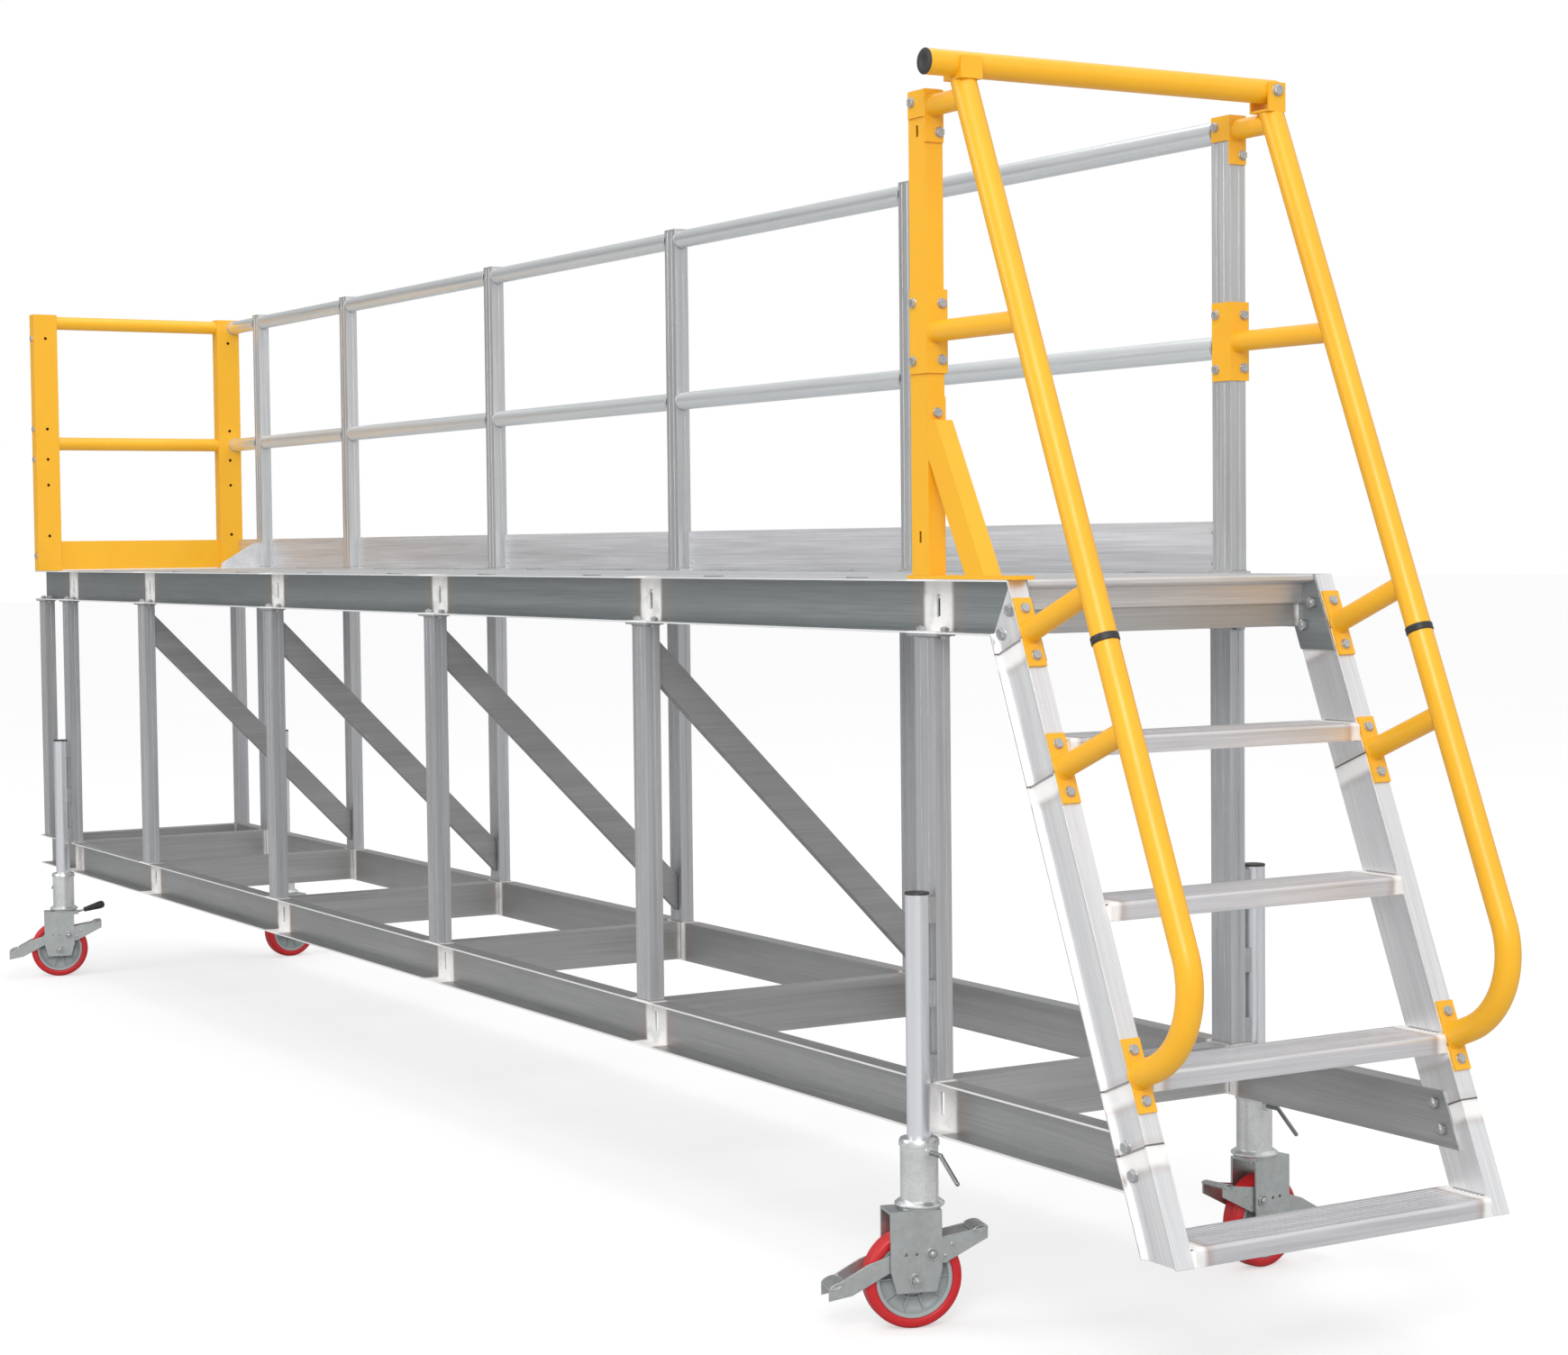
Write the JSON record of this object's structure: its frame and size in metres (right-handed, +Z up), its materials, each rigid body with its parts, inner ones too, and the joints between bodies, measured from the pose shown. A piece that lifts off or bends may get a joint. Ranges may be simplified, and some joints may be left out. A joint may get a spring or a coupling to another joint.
{
  "type": "mobile access platform",
  "caption": "Long deck on legs with a stair and two handrails at one end, a drop bar, guardrails on two sides and braked swivel casters.",
  "frame": {"origin": "on the floor under the middle of the object's box", "axes": "+X along the deck towards the stair, +Y across to the guardrail side, +Z up"},
  "size_m": [6.8522, 1.2491, 2.4935],
  "materials": {
    "mill_aluminium": "brushed mill",
    "deck_aluminium": "ribbed extrusion",
    "shaded_aluminium": "dull mill",
    "clip_aluminium": "sawn",
    "yellow_coat": "satin powder coat",
    "fastener_zinc": "zinc plated",
    "caster_zinc": "dull zinc plated",
    "hub_plastic": "ribbed",
    "red_tyre": "polyurethane",
    "black_plastic": "moulded",
    "black_grip": "moulded grip"
  },
  "bodies": {
    "frame": {"deck_beams": "mill_aluminium", "deck_cross_beams": "shaded_aluminium", "deck_planks": "deck_aluminium", "deck_nosing": "mill_aluminium", "deck_clips": "clip_aluminium", "chassis_beams": "mill_aluminium", "chassis_cross_beams": "shaded_aluminium", "legs": "mill_aluminium", "leg_plates": "clip_aluminium", "leg_bolts": "fastener_zinc", "sway_braces": "shaded_aluminium", "guard_posts": "mill_aluminium", "guard_rails": "mill_aluminium", "guard_kick_plate": "mill_aluminium", "end_posts": "yellow_coat", "end_rails": "yellow_coat", "end_kick_plate": "yellow_coat", "end_stay": "mill_aluminium", "corner_post": "yellow_coat", "corner_strut": "yellow_coat", "guard_bolts": "fastener_zinc", "stair_stiles": "mill_aluminium", "stair_treads": "deck_aluminium", "stair_bolts": "fastener_zinc", "handrails_upper": "yellow_coat", "handrails_lower": "yellow_coat", "handrail_rings": "black_plastic", "post_brackets": "yellow_coat", "stile_brackets": "yellow_coat", "bracket_bolts": "fastener_zinc", "bar_brackets": "yellow_coat", "bar_pivot": "fastener_zinc", "caster_tubes": "mill_aluminium", "caster_tube_caps": "black_plastic", "caster_blocks": "clip_aluminium", "caster_sockets": "caster_zinc"},
    "drop_bar": {"drop_bar": "yellow_coat", "bar_end_cap": "black_plastic"},
    "fork_rear_near": {"fork_rear_near": "caster_zinc"},
    "wheel_rear_near": {"hub_rear_near": "hub_plastic", "tyre_rear_near": "red_tyre"},
    "pedal_rear_near": {"pedal_rear_near": "caster_zinc"},
    "lock_screw_rear_near": {"lock_screw_rear_near": "caster_zinc"},
    "swivel_lock_near": {"swivel_lock_near": "black_grip"},
    "fork_rear_far": {"fork_rear_far": "caster_zinc"},
    "wheel_rear_far": {"hub_rear_far": "hub_plastic", "tyre_rear_far": "red_tyre"},
    "pedal_rear_far": {"pedal_rear_far": "caster_zinc"},
    "lock_screw_rear_far": {"lock_screw_rear_far": "caster_zinc"},
    "swivel_lock_far": {"swivel_lock_far": "black_grip"},
    "fork_front_near": {"fork_front_near": "caster_zinc"},
    "wheel_front_near": {"hub_front_near": "hub_plastic", "tyre_front_near": "red_tyre"},
    "pedal_front_near": {"pedal_front_near": "caster_zinc"},
    "lock_screw_front_near": {"lock_screw_front_near": "caster_zinc"},
    "fork_front_far": {"fork_front_far": "caster_zinc"},
    "wheel_front_far": {"hub_front_far": "hub_plastic", "tyre_front_far": "red_tyre"},
    "pedal_front_far": {"pedal_front_far": "caster_zinc"},
    "lock_screw_front_far": {"lock_screw_front_far": "caster_zinc"}
  },
  "joints": [
    {"name": "drop_bar_hinge", "type": "hinge", "parent": "frame", "child": "drop_bar", "pos_m": [2.72423, 0.375, 2.468], "axis": [-1, 0, 0], "range_deg": [0, 95]},
    {"name": "swivel_rear_near", "type": "hinge", "parent": "frame", "child": "fork_rear_near", "pos_m": [-3.06609, -0.42715, 0.24], "axis": [0, 0, 1], "continuous": true},
    {"name": "wheel_spin_rear_near", "type": "hinge", "parent": "fork_rear_near", "child": "wheel_rear_near", "pos_m": [-3.07105, -0.44445, 0.1], "axis": [-0.9613, 0.2756, 0], "continuous": true},
    {"name": "pedal_rock_rear_near", "type": "hinge", "parent": "fork_rear_near", "child": "pedal_rear_near", "pos_m": [-3.06196, -0.41273, 0.151], "axis": [-0.9613, 0.2756, 0], "range_deg": [-8, 8]},
    {"name": "lock_turn_rear_near", "type": "hinge", "parent": "frame", "child": "lock_screw_rear_near", "pos_m": [-3.06609, -0.42715, 0.353], "axis": [-1, 0, 0], "range_deg": [0, 180]},
    {"name": "swivel_lock_near_lift", "type": "hinge", "parent": "fork_rear_near", "child": "swivel_lock_near", "pos_m": [-3.05396, -0.38485, 0.231], "axis": [0.9613, -0.2756, 0], "range_deg": [0, 15]},
    {"name": "swivel_rear_far", "type": "hinge", "parent": "frame", "child": "fork_rear_far", "pos_m": [-3.06609, 0.42715, 0.24], "axis": [0, 0, 1], "continuous": true},
    {"name": "wheel_spin_rear_far", "type": "hinge", "parent": "fork_rear_far", "child": "wheel_rear_far", "pos_m": [-3.0689, 0.44493, 0.1], "axis": [0.9877, 0.1564, 0], "continuous": true},
    {"name": "pedal_rock_rear_far", "type": "hinge", "parent": "fork_rear_far", "child": "pedal_rear_far", "pos_m": [-3.06374, 0.41234, 0.151], "axis": [0.9877, 0.1564, 0], "range_deg": [-8, 8]},
    {"name": "lock_turn_rear_far", "type": "hinge", "parent": "frame", "child": "lock_screw_rear_far", "pos_m": [-3.06609, 0.42715, 0.353], "axis": [1, 0, 0], "range_deg": [0, 180]},
    {"name": "swivel_lock_far_lift", "type": "hinge", "parent": "fork_rear_far", "child": "swivel_lock_far", "pos_m": [-3.05921, 0.38369, 0.231], "axis": [-0.9877, -0.1564, 0], "range_deg": [0, 15]},
    {"name": "swivel_front_near", "type": "hinge", "parent": "frame", "child": "fork_front_near", "pos_m": [2.60991, -0.42715, 0.24], "axis": [0, 0, 1], "continuous": true},
    {"name": "wheel_spin_front_near", "type": "hinge", "parent": "fork_front_near", "child": "wheel_front_near", "pos_m": [2.60495, -0.44445, 0.1], "axis": [-0.9613, 0.2756, 0], "continuous": true},
    {"name": "pedal_rock_front_near", "type": "hinge", "parent": "fork_front_near", "child": "pedal_front_near", "pos_m": [2.61404, -0.41273, 0.151], "axis": [-0.9613, 0.2756, 0], "range_deg": [-8, 8]},
    {"name": "lock_turn_front_near", "type": "hinge", "parent": "frame", "child": "lock_screw_front_near", "pos_m": [2.60991, -0.42715, 0.353], "axis": [-1, 0, 0], "range_deg": [0, 180]},
    {"name": "swivel_front_far", "type": "hinge", "parent": "frame", "child": "fork_front_far", "pos_m": [2.60991, 0.42715, 0.24], "axis": [0, 0, 1], "continuous": true},
    {"name": "wheel_spin_front_far", "type": "hinge", "parent": "fork_front_far", "child": "wheel_front_far", "pos_m": [2.6071, 0.44493, 0.1], "axis": [0.9877, 0.1564, 0], "continuous": true},
    {"name": "pedal_rock_front_far", "type": "hinge", "parent": "fork_front_far", "child": "pedal_front_far", "pos_m": [2.61226, 0.41234, 0.151], "axis": [0.9877, 0.1564, 0], "range_deg": [-8, 8]},
    {"name": "lock_turn_front_far", "type": "hinge", "parent": "frame", "child": "lock_screw_front_far", "pos_m": [2.60991, 0.42715, 0.353], "axis": [1, 0, 0], "range_deg": [0, 180]}
  ]
}
